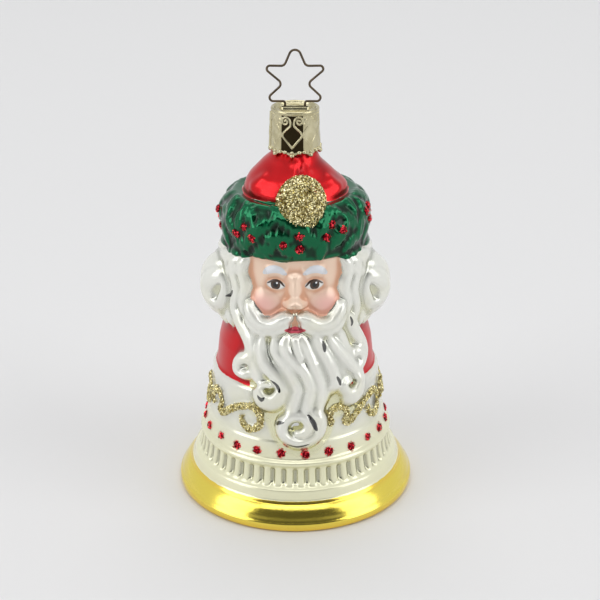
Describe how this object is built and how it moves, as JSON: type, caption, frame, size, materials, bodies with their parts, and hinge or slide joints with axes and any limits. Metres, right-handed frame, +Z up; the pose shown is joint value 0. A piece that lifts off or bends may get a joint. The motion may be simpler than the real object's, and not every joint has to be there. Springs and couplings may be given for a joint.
{
  "type": "christmas bell ornament",
  "caption": "Blown-glass bell ornament with a bearded winter head, leafy hat brim, glitter scrolls, crown cap, wire star hanger and a hanging clapper.",
  "frame": {"origin": "centre of the rim's foot, on the surface that the bell stands on", "axes": "+Z up the bell's axis to the star, -Y out of the face, +X to the right of someone looking at the face"},
  "size_m": [0.062, 0.062, 0.1158],
  "materials": {
    "lacquered_glass": "mirrored glass under glossy coloured lacquers",
    "gold_glitter": "coarse glitter",
    "red_glitter": "coarse glitter",
    "cap_brass": "stamped, satin",
    "bronze_wire": "antique bronze",
    "brass_wire": "bright",
    "clapper_glass": "gold mirrored"
  },
  "bodies": {
    "glass": {"glass_bell": "lacquered_glass", "pompom_glitter": "gold_glitter", "holly_berries": "red_glitter", "skirt_dots": "red_glitter", "glitter_scroll_1": "gold_glitter", "glitter_scroll_2": "gold_glitter", "glitter_scroll_3": "gold_glitter", "glitter_scroll_4": "gold_glitter", "glitter_scroll_5": "gold_glitter", "glitter_scroll_6": "gold_glitter", "clapper_crossbar": "brass_wire"},
    "cap": {"crown_cap": "cap_brass", "star_hanger": "bronze_wire"},
    "link": {"clapper_link": "brass_wire"},
    "clapper": {"clapper_rod": "brass_wire", "clapper_bead": "clapper_glass", "clapper_crimps": "brass_wire"}
  },
  "joints": [
    {"name": "cap_lift", "type": "slide", "parent": "glass", "child": "cap", "axis": [0, 0, 1], "range_m": [0, 0.012]},
    {"name": "link_swing", "type": "hinge", "parent": "glass", "child": "link", "pos_m": [0, 0, 0.09655], "axis": [0, 1, 0], "range_deg": [-8.5, 8.5]},
    {"name": "rod_swing", "type": "hinge", "parent": "link", "child": "clapper", "pos_m": [0, 0, 0.0901], "axis": [1, 0, 0], "range_deg": [-8.5, 8.5]}
  ]
}
